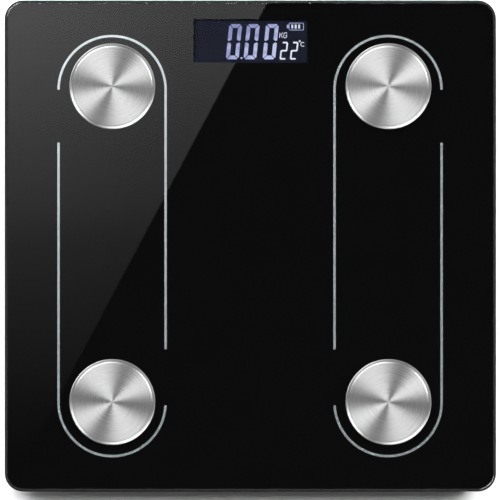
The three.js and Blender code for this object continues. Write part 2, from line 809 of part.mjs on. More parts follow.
const boardScrewGeometry = panScrew({ shank: 0.9, head: 2.2, headHeight: 1.4, length: 5.6, sides: 10 });
const electronics = groupOf(
  mesh("main_board", mainBoard(), "board"),
  mesh("display_panel", displayPanel(), "panel"),
  mesh("display_backlight", displayBacklight(), "backlight"),
  mesh("display_holder", displayHolder(), "housing"),
  mesh("zebra_connector", zebraConnector(), "elastomer"),
  placed(mesh("controller_chip", controllerChip(), "epoxy"), -6, 118, BOARD.bottom - 1.9),
  placed(mesh("radio_module", radioModule(), "shield"), -31, 119, BOARD.bottom - 2.4),
  placed(mesh("tact_switch", tactSwitch(), "epoxy"), BUTTON.x, BUTTON.y),
  placed(mesh("unit_button", unitButton(), "button"), BUTTON.x, BUTTON.y),
  ...BOARD_SCREWS.map((x) => {
    const screw = mesh(`board_screw_${x < 0 ? "left" : "right"}`, boardScrewGeometry, "nickel");
    screw.rotation.x = Math.PI;
    return placed(screw, x, BOARD_SCREW_Y, BOARD.top + THIN_GAP);
  }),
);

// Contacts on the -X wall are the same plates turned half round about Z, which also reverses the rows.
function contact(name, rows, wallSide) {
  const plate = mesh(name, contactPlate(rows), "nickel");
  plate.rotation.z = wallSide > 0 ? 0 : Math.PI;
  return plate;
}

const batteryPack = placed(
  groupOf(
    ...[-1, 0, 1].map((row, i) =>
      placed(mesh(`battery_${i + 1}`, batteryCell(row === 0), "jacket"), 0, row * BATTERY.pitch, BATTERY.z),
    ),
    contact("contact_positive", { dimpleRow: 1, tabRow: 1 }, 1),
    contact("contact_bridge_right", { dimpleRow: -1, springRow: 0 }, 1),
    contact("contact_bridge_left", { dimpleRow: 0, springRow: -1 }, -1),
    contact("contact_negative", { springRow: 1, tabRow: 1 }, -1),
  ),
  0,
  BAY.y,
);
const power = groupOf(
  batteryPack,
  placed(mesh("battery_door", batteryDoor(), "housing"), 0, HINGE.y, HINGE.z),
  mesh("battery_lead_positive", batteryLead(1, 1), "redWire"),
  mesh("battery_lead_negative", batteryLead(-1, -1), "blackWire"),
);

const bathroomScale = groupOf(platform, housing, ...supports, electronics, power);
bathroomScale.name = "bathroom_scale";

export default bathroomScale;
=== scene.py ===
"""A digital bathroom scale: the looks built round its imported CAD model, seen from straight above in a
pale studio. Metres throughout. X is across the scale, Y runs from heels to toes and Z is up."""
import math

import bmesh
import bpy
from mathutils import Matrix, Vector
from mathutils.geometry import tessellate_polygon

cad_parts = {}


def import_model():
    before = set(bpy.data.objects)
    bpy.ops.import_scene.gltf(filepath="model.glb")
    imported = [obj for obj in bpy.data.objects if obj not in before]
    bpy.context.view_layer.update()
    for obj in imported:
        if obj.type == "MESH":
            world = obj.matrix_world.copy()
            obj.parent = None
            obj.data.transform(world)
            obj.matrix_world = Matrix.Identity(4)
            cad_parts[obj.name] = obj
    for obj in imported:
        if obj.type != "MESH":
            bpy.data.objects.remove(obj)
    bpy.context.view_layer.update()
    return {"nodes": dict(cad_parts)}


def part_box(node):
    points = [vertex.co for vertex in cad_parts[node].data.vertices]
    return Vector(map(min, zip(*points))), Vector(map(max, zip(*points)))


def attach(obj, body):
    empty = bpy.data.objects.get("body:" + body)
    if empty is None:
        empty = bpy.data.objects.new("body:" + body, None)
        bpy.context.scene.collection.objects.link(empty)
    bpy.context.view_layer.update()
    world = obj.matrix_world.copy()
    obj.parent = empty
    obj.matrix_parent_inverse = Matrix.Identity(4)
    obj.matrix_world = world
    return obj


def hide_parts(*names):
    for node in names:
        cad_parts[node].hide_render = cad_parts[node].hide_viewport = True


MM = 0.001
ROOT = "scale_body"
CORNERS = ("toe_left", "toe_right", "heel_left", "heel_right")

# Glass: its corners, its bevel and the holes for the studs. The bevel's tilt in degrees goes from the outer
# value to the inner one, and strips are given as a count and a width
GLASS_HALF = 150 * MM
GLASS_CORNER = 11.3 * MM
BEVEL_DROP = 1.6 * MM
BEVEL_TILT = (43.5, 40)
BEVEL_STRIPS = (12, 0.14 * MM)
EDGE_STRIPS = (3, 0.03 * MM)
ARRIS = 0.4 * MM
CORNER_STEPS = 20
STUD_HOLE = 3 * MM

# Electrode caps: from the face outwards, a step that falls, a lip that rises and a steep edge, each with its
# width and its slope in degrees
RIM = ((0.6 * MM, -6), (1.2 * MM, 5), (0.35 * MM, -40))

# Print on the back of the glass: black all over, with a window and the silver tracks
PRINT_INSET = 0.42 * MM
PRINT_LIFT = 0.02 * MM
PRINT_THICK = 0.03 * MM
WINDOW_INSET = (1.25 * MM, 1.3 * MM)
# Painted shade: the band inside the display window's left and top edges where the field's glow is dimmed,
# standing in for the bezel's shadow
PAINTED_SHADE_BORDER = (0.75 * MM, 1.4 * MM)
TRACK_RADIUS = 32.7 * MM
TRACK_WIDTH = 1.45 * MM
TRACK_SHIFT = -0.2 * MM
TOE_ARC_BACK = 2.0 * MM
HEEL_ARC_BACK = 0.4 * MM
TRACK_END = 63.1 * MM
ARC_STEPS = 48

# Display figures, from the middle of the window
FIGURE_LEAN = math.radians(5.9)
DIGIT = {"width": 7.8 * MM, "height": 21.5 * MM, "stroke": 2.3 * MM, "gap": 0.3 * MM, "corner": 1.2 * MM}
DIGIT_LEFT = (-15.05 * MM, -4.25 * MM, 7.35 * MM)
DIGIT_BOTTOM = -11.15 * MM
SMALL_DIGIT = {"width": 3.3 * MM, "height": 9.9 * MM, "stroke": 0.95 * MM}

# Camera, and the softbox that the glass reflects: its slanting edge passes through a point of the glass, and
# its light grows from the heel edge, at 0, to the toe edge, at 1, by stops of (place, brightness)
VIEW_WIDTH = 305.3 * MM
VIEW_AIM = (-0.244 * MM, -2.48 * MM)
LENS = 1000.0
SENSOR = 36.0
SOFTBOX_EDGE = (10.0 * MM, 148.0 * MM)
SOFTBOX_LEAN = math.radians(27.9)
SOFTBOX_FADE = [(0.09, 0.0), (0.195, 0.028), (0.4, 0.118), (0.52, 0.20), (0.6, 0.33), (0.704, 0.46),
                (0.806, 0.62), (0.97, 0.90)]

# The studio's light by direction. Each lamp: azimuth counted from +X towards +Y, half its width, the angles
# from the zenith that it lies between, how softly its sides and its ends fade, all in degrees, and its
# radiance. The last one is a low ring of light all the way round
SKY = {"overhead": 0.07, "near": 0.035, "far": 0.19, "softbox": 1.53}
FLOOR_HALF = 3.0
FLOOR_LEVEL = -0.1 * MM
LAMPS = (
    (29, 18, 30.5, 48.5, 6, 3, 35.0),
    (119, 30, 25.5, 50, 15, 3, 18.0),
    (135, 28, 80.8, 83, 14, 0.8, 13.0),
    (315, 27, 80.8, 83, 14, 0.8, 12.0),
    (90, 50, 2.2, 6, 10, 0.5, 0.9),
    (None, None, 78, 85.5, None, 1.5, 0.8),
)


# ---- Mesh helpers ----
def add_object(name, mesh, material, body=ROOT, replaces=()):
    """Links a mesh, gives it its material and lets it ride on a body."""
    made = bpy.data.objects.new(name, mesh)
    bpy.context.scene.collection.objects.link(made)
    for each in material if isinstance(material, (list, tuple)) else [material]:
        made.data.materials.append(each)
    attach(made, body)
    if replaces:
        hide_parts(*replaces)
    return made


def mesh_from(name, points, faces, smooth_angle=None):
    mesh = bpy.data.meshes.new(name)
    mesh.from_pydata([tuple(p) for p in points], [], faces)
    mesh.validate()
    work = bmesh.new()
    work.from_mesh(mesh)
    bmesh.ops.recalc_face_normals(work, faces=work.faces)
    work.to_mesh(mesh)
    work.free()
    if smooth_angle is not None:
        mesh.shade_smooth()
        mesh.set_sharp_from_angle(angle=math.radians(smooth_angle))
    return mesh


def lathe(name, profile, segments, centre, smooth_angle=35):
    """A solid of revolution about Z from (radius, height) points that run from the axis back to the axis.
    The UV map runs out along the profile in U and round the axis in V."""
    points, rings, along = [], [], [0.0]
    for (r0, z0), (r1, z1) in zip(profile, profile[1:]):
        along.append(along[-1] + math.hypot(r1 - r0, z1 - z0))
    for radius, height in profile:
        count = 1 if radius < 1e-9 else segments
        rings.append(list(range(len(points), len(points) + count)))
        for i in range(count):
            a = 2 * math.pi * i / segments
            points.append((centre[0] + radius * math.cos(a), centre[1] + radius * math.sin(a), height))
    faces, places = [], []
    for k, (lower, upper) in enumerate(zip(rings, rings[1:])):
        for i in range(segments):
            j = (i + 1) % segments
            v0, v1 = i / segments, (i + 1) / segments
            corners = [(lower[i % len(lower)], along[k], v0), (upper[i % len(upper)], along[k + 1], v0),
                       (upper[j % len(upper)], along[k + 1], v1), (lower[j % len(lower)], along[k], v1)]
            kept = [c for n, c in enumerate(corners) if c[0] not in [d[0] for d in corners[:n]]]
            faces.append([c[0] for c in kept])
            places.append([(c[1] / along[-1], c[2]) for c in kept])
    mesh = bpy.data.meshes.new(name)
    mesh.from_pydata(points, [], faces)
    layer = mesh.uv_layers.new(name="turned")
    for polygon, uvs in zip(mesh.polygons, places):
        for loop, uv in zip(polygon.loop_indices, uvs):
            layer.data[loop].uv = uv
    work = bmesh.new()
    work.from_mesh(mesh)
    bmesh.ops.recalc_face_normals(work, faces=work.faces)
    work.to_mesh(mesh)
    work.free()
    mesh.shade_smooth()
    mesh.set_sharp_from_angle(angle=math.radians(smooth_angle))
    return mesh


def rounded_square(half, radius, steps=CORNER_STEPS):
    """Corner points of a square with rounded corners, anticlockwise."""
    points = []
    for quarter, (sx, sy) in enumerate(((1, 1), (-1, 1), (-1, -1), (1, -1))):
        for i in range(steps + 1):
            a = math.pi / 2 * (quarter + i / steps)
            points.append((sx * (half - radius) + radius * math.cos(a),
                           sy * (half - radius) + radius * math.sin(a)))
    return points


def circle(x, y, radius, steps=32):
    return [(x + radius * math.cos(2 * math.pi * i / steps), y + radius * math.sin(2 * math.pi * i / steps))
            for i in range(steps)]


def rectangle(x0, x1, y0, y1):
    return [(x0, y0), (x1, y0), (x1, y1), (x0, y1)]


def plates(shapes, z0, z1):
    """Points and faces of flat closed plates. Each shape is a list of loops: its outline, then its holes."""
    points, faces = [], []
    for loops in shapes:
        start = len(points)
        flat = [p for loop in loops for p in loop]
        count = len(flat)
        points += [(x, y, z0) for x, y in flat] + [(x, y, z1) for x, y in flat]
        for a, b, c in tessellate_polygon([[Vector((x, y, 0)) for x, y in loop] for loop in loops]):
            faces.append((start + a, start + b, start + c))
            faces.append((start + count + a, start + count + c, start + count + b))
        offset = start
        for loop in loops:
            n = len(loop)
            for i in range(n):
                j = (i + 1) % n
                faces.append((offset + i, offset + j, offset + j + count, offset + i + count))
            offset += n
    return points, faces


def stroke(path, width):
    """The outline of a line of this width through the points, with mitred bends and square ends."""
    half = width / 2
    left, right = [], []
    for i, point in enumerate(path):
        here = Vector(point)
        before = (here - Vector(path[i - 1])).normalized() if i else None
        after = (Vector(path[i + 1]) - here).normalized() if i + 1 < len(path) else None
        direction = ((before or after) + (after or before)).normalized()
        normal = Vector((-direction.y, direction.x))
        reach = half / max(0.5, direction.dot(before or after))
        left.append(tuple(here + normal * reach))
        right.append(tuple(here - normal * reach))
    return left + right[::-1]


def arc(x, y, radius, start, end, steps):
    """Points on an arc, with its angles in degrees."""
    angles = [math.radians(start + (end - start) * i / steps) for i in range(steps + 1)]
    return [(x + radius * math.cos(a), y + radius * math.sin(a)) for a in angles]


# ---- Node helpers ----
class Graph:
    """A material's or world's node tree, with short calls to add nodes and links."""

    def __init__(self, tree):
        self.tree = tree
        tree.nodes.clear()

    def add(self, kind, inputs=None, **settings):
        node = self.tree.nodes.new(kind)
        for key, value in settings.items():
            setattr(node, key, value)
        for key, value in (inputs or {}).items():
            self.feed(node, key, value)
        return node

    def feed(self, node, key, value):
        if isinstance(value, bpy.types.NodeSocket):
            self.tree.links.new(value, node.inputs[key])
        else:
            node.inputs[key].default_value = value

    def math(self, operation, a, b=0.0, c=0.0):
        return self.add("ShaderNodeMath", {0: a, 1: b, 2: c}, operation=operation).outputs[0]

    def band(self, value, low, high, start=0.0, end=1.0):
        """Smoothly goes from start to end as value goes from low to high."""
        inputs = {"Value": value, "From Min": low, "From Max": high, "To Min": start, "To Max": end}
        return self.add("ShaderNodeMapRange", inputs, interpolation_type="SMOOTHSTEP").outputs[0]

    def ramp(self, value, stops, interpolation="LINEAR"):
        node = self.add("ShaderNodeValToRGB", {"Fac": value})
        node.color_ramp.interpolation = interpolation
        while len(node.color_ramp.elements) < len(stops):
            node.color_ramp.elements.new(0.5)
        for element, (place, colour) in zip(node.color_ramp.elements, stops):
            element.position = place
            element.color = (*colour, 1) if isinstance(colour, tuple) else (colour, colour, colour, 1)
        return node.outputs["Color"]

    def noise(self, vector, scale, detail=2.0, roughness=0.5):
        inputs = {"Vector": vector, "Scale": scale, "Detail": detail, "Roughness": roughness}
        return self.add("ShaderNodeTexNoise", inputs).outputs["Fac"]

    def bump(self, height, strength, distance):
        inputs = {"Height": height, "Strength": strength, "Distance": distance}
        return self.add("ShaderNodeBump", inputs).outputs[0]


def new_material(name):
    material = bpy.data.materials.new(name)
    material.use_nodes = True
    graph = Graph(material.node_tree)
    return material, graph


def principled(graph, inputs):
    shader = graph.add("ShaderNodeBsdfPrincipled", inputs)
    graph.add("ShaderNodeOutputMaterial", {"Surface": shader.outputs[0]})
    return shader


def scaled(graph, x=1.0, y=1.0, z=1.0, source="Object"):
    coordinates = graph.add("ShaderNodeTexCoord").outputs[source]
    return graph.add("ShaderNodeMapping", {"Vector": coordinates, "Scale": (x, y, z)}).outputs[0]


# ---- Materials ----
def moulded_plastic(name, colour, roughness, grain=2600.0, depth=0.05):
    """Injection-moulded plastic: a fine spark-eroded grain and faint changes of tone."""
    material, graph = new_material(name)
    place = scaled(graph)
    fine = graph.noise(place, grain, 3.0, 0.6)
    broad = graph.noise(place, 22.0, 2.0)
    tone = graph.ramp(broad, [(0.3, tuple(c * 0.88 for c in colour)), (0.7, tuple(c * 1.12 for c in colour))])
    rough = graph.band(fine, 0.3, 0.7, roughness - 0.06, roughness + 0.06)
    normal = graph.bump(fine, 0.35, depth * MM)
    principled(graph, {"Base Color": tone, "Roughness": rough, "Normal": normal})
    return material


def rubber():
    material, graph = new_material("rubber")
    place = scaled(graph)
    fine = graph.noise(place, 1900.0, 4.0, 0.7)
    dust = graph.noise(place, 90.0, 3.0)
    tone = graph.ramp(dust, [(0.35, (0.020, 0.020, 0.021)), (0.75, (0.036, 0.036, 0.037))])
    normal = graph.bump(fine, 0.4, 0.06 * MM)
    rough = graph.band(fine, 0.3, 0.7, 0.72, 0.88)
    principled(graph, {"Base Color": tone, "Roughness": rough, "Normal": normal})
    return material


def plain_metal(name, colour, roughness, scale=700.0):
    """Plated or ground metal: cloudy roughness and fine straight scratches."""
    material, graph = new_material(name)
    cloudy = graph.noise(scaled(graph), scale * 0.3, 3.0)
    lines = graph.noise(scaled(graph, 1.0, 14.0, 1.0), scale, 2.0)
    tone = graph.ramp(cloudy, [(0.3, tuple(c * 0.86 for c in colour)), (0.7, colour)])
    rough = graph.band(lines, 0.3, 0.7, roughness * 0.8, roughness * 1.25)
    normal = graph.bump(lines, 0.2, 0.01 * MM)
    principled(graph, {"Base Color": tone, "Metallic": 1.0, "Roughness": rough, "Normal": normal})
    return material


def spun_steel():
    """Stainless steel turned on its axis: fine rings that spread light along each radius."""
    material, graph = new_material("spun_steel")
    rings = graph.noise(scaled(graph, 520.0, 0.6, 1.0, "UV"), 1.0, 3.0, 0.65)
    fine = graph.noise(scaled(graph, 1700.0, 2.5, 1.0, "UV"), 1.0, 2.0)
    tone = graph.ramp(rings, [(0.35, (0.515, 0.517, 0.518)), (0.65, (0.555, 0.557, 0.558))])
    rough = graph.band(fine, 0.3, 0.7, 0.265, 0.295)
    normal = graph.bump(graph.math("ADD", rings, fine), 0.06, 0.004 * MM)
    tangent = graph.add("ShaderNodeTangent", direction_type="UV_MAP", uv_map="turned").outputs[0]
    principled(graph, {"Base Color": tone, "Metallic": 1.0, "Roughness": rough, "Anisotropic": 0.83,
                       "Tangent": tangent, "Normal": normal})
    return material


def polished_rim():
    """The electrode's rolled edge, buffed bright."""
    material, graph = new_material("polished_rim")
    buff = graph.noise(scaled(graph, 60.0, 3.0, 1.0, "UV"), 1.0, 2.0)
    tone = graph.ramp(buff, [(0.3, (0.50, 0.503, 0.505)), (0.7, (0.58, 0.583, 0.585))])
    rough = graph.band(buff, 0.3, 0.7, 0.27, 0.33)
    principled(graph, {"Base Color": tone, "Metallic": 1.0, "Roughness": rough})
    return material


def clear_glass(name, ior, tint):
    """Clear glass that lets the studio lights through to the print and the display behind it."""
    material, graph = new_material(name)
    cloud = graph.noise(scaled(graph), 35.0, 4.0)
    body = graph.ramp(cloud, [(0.3, tuple(c * 0.985 for c in tint)), (0.7, tint)])
    glass = graph.add("ShaderNodeBsdfPrincipled", {"Base Color": body, "Roughness": 0.0, "IOR": ior,
                                                   "Transmission Weight": 1.0})
    through = graph.add("ShaderNodeBsdfTransparent", {"Color": body})
    shadow = graph.add("ShaderNodeLightPath").outputs["Is Shadow Ray"]
    mixed = graph.add("ShaderNodeMixShader", {0: shadow, 1: glass.outputs[0], 2: through.outputs[0]})
    graph.add("ShaderNodeOutputMaterial", {"Surface": mixed.outputs[0]})
    return material


def dark_edge():
    """The slab's ground side, backed by the black print that shows through it."""
    material, graph = new_material("dark_edge")
    ground = graph.noise(scaled(graph, 1.0, 1.0, 8.0), 400.0, 2.0)
    tone = graph.ramp(ground, [(0.3, (0.0010, 0.0016, 0.0013)), (0.7, (0.0018, 0.0028, 0.0023))])
    principled(graph, {"Base Color": tone, "Roughness": graph.band(ground, 0.3, 0.7, 0.06, 0.12)})
    return material


def black_print():
    """Ink fired on the back of the glass."""
    material, graph = new_material("black_print")
    cloud = graph.noise(scaled(graph), 60.0, 2.0)
    tone = graph.ramp(cloud, [(0.3, (0.00022, 0.00026, 0.00022)), (0.7, (0.00034, 0.0004, 0.00034))])
    principled(graph, {"Base Color": tone, "Roughness": 0.6, "Specular IOR Level": 0.0})
    return material


def silver_print():
    """Metallic ink: fine flakes in a pale binder."""
    material, graph = new_material("silver_print")
    flakes = graph.noise(scaled(graph), 5200.0, 2.0, 0.7)
    tone = graph.ramp(flakes, [(0.3, (0.50, 0.535, 0.56)), (0.7, (0.60, 0.64, 0.67))])
    normal = graph.bump(flakes, 0.1, 0.001 * MM)
    principled(graph, {"Base Color": tone, "Metallic": 0.86, "Roughness": 0.06, "Normal": normal})
    return material


def display_dark():
    """The unlit field of the display: a smoky polariser with a faint glow of the backlight behind it. Along
    the window's left and top edges the glow is dimmed by painted shade, which stands in for the bezel's
    shadow."""
    material, graph = new_material("display_dark")
    place = scaled(graph)
    cloud = graph.noise(place, 120.0, 2.0)
    tone = graph.ramp(cloud, [(0.3, (0.0008, 0.0009, 0.0016)), (0.7, (0.0010, 0.0011, 0.0020))])
    glow = graph.ramp(cloud, [(0.3, (0.0085, 0.0100, 0.0175)), (0.7, (0.0100, 0.0115, 0.0200))])
    x, y, _ = graph.add("ShaderNodeSeparateXYZ", {0: place}).outputs
    x0, _, _, y1 = window_box()
    # Painted shade: the glow falls to a fifth across a band inside the window's left and top edges, standing
    # in for the bezel's shadow
    lit = graph.math("MULTIPLY", graph.band(x, x0 + PAINTED_SHADE_BORDER[0], x0 + PAINTED_SHADE_BORDER[1], 0.2, 1.0),
                     graph.band(y, y1 - PAINTED_SHADE_BORDER[1], y1 - PAINTED_SHADE_BORDER[0], 1.0, 0.2))
    glow = graph.add("ShaderNodeVectorMath", {0: glow, "Scale": lit}, operation="SCALE").outputs[0]
    principled(graph, {"Base Color": tone, "Roughness": 0.35, "Specular IOR Level": 0.0,
                       "Emission Color": glow, "Emission Strength": 1.0})
    return material


def lit_figure(name, low, high):
    """A lit segment, a little uneven and brighter towards the lamp at the lower right of the backlight."""
    material, graph = new_material(name)
    place = scaled(graph)
    uneven = graph.noise(place, 260.0, 1.0)
    x0, x1, y0, y1 = window_box()
    x, y, _ = graph.add("ShaderNodeSeparateXYZ", {0: place}).outputs
    nearer = graph.math("ADD", graph.band(x, x0, x1, -0.25, 0.25), graph.band(y, y0, y1, 0.2, -0.2))
    glow = graph.ramp(graph.math("ADD", uneven, nearer), [(0.25, low), (0.8, high)])
    principled(graph, {"Base Color": (0.004, 0.004, 0.006, 1), "Roughness": 0.5, "Specular IOR Level": 0.0,
                       "Emission Color": glow, "Emission Strength": 1.0})
    return material


def circuit_board():
    material, graph = new_material("circuit_board")
    inputs = {"Vector": scaled(graph), "Scale": 160.0, "Mortar Size": 0.03, "Mortar": (0.03, 0.16, 0.07, 1),
              "Color1": (0.012, 0.085, 0.035, 1), "Color2": (0.010, 0.070, 0.030, 1)}
    traces = graph.add("ShaderNodeTexBrick", inputs).outputs["Color"]
    principled(graph, {"Base Color": traces, "Roughness": 0.42})
    return material


def wire_jacket(name, colour):
    material, graph = new_material(name)
    uneven = graph.noise(scaled(graph), 300.0, 2.0)
    tone = graph.ramp(uneven, [(0.3, tuple(c * 0.85 for c in colour)), (0.7, colour)])
    principled(graph, {"Base Color": tone, "Roughness": 0.45})
    return material


def foam_tape():
    material, graph = new_material("foam_tape")
    cells = graph.add("ShaderNodeTexVoronoi", {"Vector": scaled(graph), "Scale": 1400.0}).outputs["Distance"]
    tone = graph.ramp(cells, [(0.0, (0.55, 0.55, 0.52)), (0.6, (0.74, 0.74, 0.70))])
    normal = graph.bump(cells, 0.5, 0.1 * MM)
    principled(graph, {"Base Color": tone, "Roughness": 0.85, "Normal": normal})
    return material


def battery_sleeve():
    """A plain printed sleeve with a bare steel cap at each end, told apart along the cell's axis."""
    material, graph = new_material("battery_sleeve")
    lo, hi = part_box("battery_1")
    middle, reach = (lo.x + hi.x) / 2, (hi.x - lo.x) / 2
    coordinates = graph.add("ShaderNodeTexCoord").outputs["Object"]
    x = graph.add("ShaderNodeSeparateXYZ", {0: coordinates}).outputs["X"]
    outward = graph.math("ABSOLUTE", graph.math("SUBTRACT", x, middle))
    metal = graph.band(outward, reach * 0.93, reach * 0.94)
    stripe = graph.band(outward, reach * 0.55, reach * 0.56)
    sleeve = graph.ramp(stripe, [(0.45, (0.02, 0.09, 0.30)), (0.55, (0.45, 0.46, 0.48))])
    mix = graph.add("ShaderNodeMix", data_type="RGBA")
    for key, value in ((0, metal), (6, sleeve), (7, (0.62, 0.62, 0.60, 1))):
        graph.feed(mix, key, value)
    tone = mix.outputs[2]
    principled(graph, {"Base Color": tone, "Metallic": metal, "Roughness": 0.3})
    return material


# ---- Pieces ----
def electrode_centre(corner):
    lo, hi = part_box("electrode_" + corner)
    return (lo.x + hi.x) / 2, (lo.y + hi.y) / 2


def window_box():
    """The display window's edges: the panel behind it reaches a little past them."""
    lo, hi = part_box("display_panel")
    return lo.x + WINDOW_INSET[0], hi.x - WINDOW_INSET[0], lo.y + WINDOW_INSET[1], hi.y - WINDOW_INSET[1]


def bevel_profile(top):
    """Insets and heights from the wall in to the face: a slightly crowned bevel, then its rounded inner
    edge, each in narrow strips."""
    outer, inner = BEVEL_TILT
    count, width = BEVEL_STRIPS
    tilts = [(width, outer + (inner - outer) * i / (count - 1)) for i in range(count)]
    count, width = EDGE_STRIPS
    tilts += [(width, inner * (1 - (i + 0.5) / count)) for i in range(count)]
    drop = sum(width * math.tan(math.radians(tilt)) for width, tilt in tilts)
    places = [(0.0, top - drop)]
    for width, tilt in tilts:
        inset, height = places[-1]
        places.append((inset + width, height + width * math.tan(math.radians(tilt))))
    return places


def glass_platform(glass, window, side):
    """The bevelled slab. The faces over the display are anti-reflection coated, so they have a finish of
    their own, and so do the ground faces of the sides."""
    lo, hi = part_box("glass_platform")
    half, bottom, top = hi.x, lo.z, hi.z
    rings = [(ARRIS, bottom), (0.25 * ARRIS, bottom + 0.25 * ARRIS), (0, bottom + ARRIS), *bevel_profile(top)]
    points, faces = [], []
    for inset, height in rings:
        points += [(x, y, height) for x, y in rounded_square(half - inset, GLASS_CORNER - inset)]
    count = len(points) // len(rings)
    for k in range(len(rings) - 1):
        for i in range(count):
            j = (i + 1) % count
            faces.append((k * count + i, k * count + j, (k + 1) * count + j, (k + 1) * count + i))
    window_faces = []
    holes = [circle(*electrode_centre(c), STUD_HOLE) for c in CORNERS]
    cap_starts = []
    for ring_start, height in ((0, bottom), ((len(rings) - 1) * count, top)):
        outline = [points[ring_start + i][:2] for i in range(count)]
        loops = [outline, *holes, rectangle(*window_box())]
        start = len(points)
        points += [(x, y, height) for loop in loops[1:] for x, y in loop]
        index = list(range(ring_start, ring_start + count)) + list(range(start, len(points)))
        for triangle in tessellate_polygon([[Vector((x, y, 0)) for x, y in loop] for loop in loops]):
            faces.append(tuple(index[i] for i in triangle))
        window_faces.append(tuple(range(len(points) - 4, len(points))))
        cap_starts.append(start)
    for n in range(len(holes)):
        for i in range(len(holes[n])):
            j = (i + 1) % len(holes[n])
            a, b = cap_starts[0] + n * len(holes[n]), cap_starts[1] + n * len(holes[n])
            faces.append((a + i, a + j, b + j, b + i))
    mesh = mesh_from("glass_platform_look", points, faces + window_faces, 30)
    x0, x1, y0, y1 = window_box()
    side_top = top - BEVEL_DROP - 0.1 * MM
    for polygon in mesh.polygons:
        c = polygon.center
        facing = polygon.normal.z
        polygon.use_smooth = abs(facing) < 0.9999
        near_edge = max(abs(c.x), abs(c.y)) > half - GLASS_CORNER
        if len(polygon.vertices) == 4 and abs(facing) > 0.99 and x0 < c.x < x1 and y0 < c.y < y1:
            polygon.material_index = 1
        elif near_edge and c.z < side_top and facing > -0.99:
            polygon.material_index = 2
    return add_object("glass_slab", mesh, [glass, window, side], replaces=["glass_platform"])


def print_layer(ink):
    """The black print, bonded to the back of the glass. The window and the stud holes are left clear."""
    lo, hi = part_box("glass_platform")
    outline = rounded_square(hi.x - PRINT_INSET, GLASS_CORNER - PRINT_INSET)
    holes = [circle(*electrode_centre(c), 2 * STUD_HOLE) for c in CORNERS]
    z0 = lo.z + PRINT_LIFT
    points, faces = plates([[outline, *holes, rectangle(*window_box())]], z0, z0 + PRINT_THICK)
    return add_object("print_black", mesh_from("print_black", points, faces), ink,
                      replaces=["backing_film"])


def print_tracks(ink):
    """Silver lines beside each pair of electrodes: one goes round the toe electrode and down the inner side,
    the other goes up the outer side from round the heel electrode."""
    shapes = []
    for side in (-1, 1):
        toe_x, toe_y = electrode_centre("toe_left" if side < 0 else "toe_right")
        heel_x, heel_y = electrode_centre("heel_left" if side < 0 else "heel_right")
        toe_x, toe_y = toe_x + TRACK_SHIFT, toe_y - TOE_ARC_BACK
        heel_x, heel_y = heel_x + TRACK_SHIFT, heel_y - HEEL_ARC_BACK
        bend = (180, 0) if side < 0 else (0, 180)
        over = arc(toe_x, toe_y, TRACK_RADIUS, *bend, ARC_STEPS)
        inner_x = over[-1][0]
        toe_line = [*over, (inner_x, -TRACK_END)]
        turn = (180, 357) if side < 0 else (0, -177)
        under = arc(heel_x, heel_y, TRACK_RADIUS, *turn, ARC_STEPS)
        heel_line = [(under[0][0], TRACK_END), *under]
        shapes += [[stroke(toe_line, TRACK_WIDTH)], [stroke(heel_line, TRACK_WIDTH)]]
    lo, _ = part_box("glass_platform")
    z0 = lo.z + PRINT_LIFT + PRINT_THICK + 0.005 * MM
    points, faces = plates(shapes, z0, z0 + PRINT_THICK)
    return add_object("print_tracks", mesh_from("print_tracks", points, faces), ink)


def electrodes(face, rim):
    """Shallow spun caps: a flat turned face inside a rolled, polished edge, with the stud below."""
    for corner in CORNERS:
        lo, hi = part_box("electrode_" + corner)
        centre = electrode_centre(corner)
        radius, top, seat = (hi.x - lo.x) / 2, hi.z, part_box("glass_platform")[1].z + 0.1 * MM
        reach = radius - sum(width for width, _ in RIM)
        rises = [width * math.tan(math.radians(slope)) for width, slope in RIM]
        profile = [(0, top - rises[0] - rises[1]), (reach, top - rises[0] - rises[1])]
        for (width, _), rise in zip(RIM, rises):
            profile.append((profile[-1][0] + width, profile[-1][1] + rise))
        profile += [(radius, seat), (2 * MM, seat), (2 * MM, lo.z + 0.5 * MM), (1.5 * MM, lo.z), (0, lo.z)]
        mesh = lathe("electrode_cap_" + corner, profile, 160, centre, 5)
        for polygon in mesh.polygons:
            polygon.material_index = 0 if polygon.normal.z > 0.9 else 1
        add_object("electrode_cap_" + corner, mesh, [face, rim],
                   replaces=["electrode_" + corner])


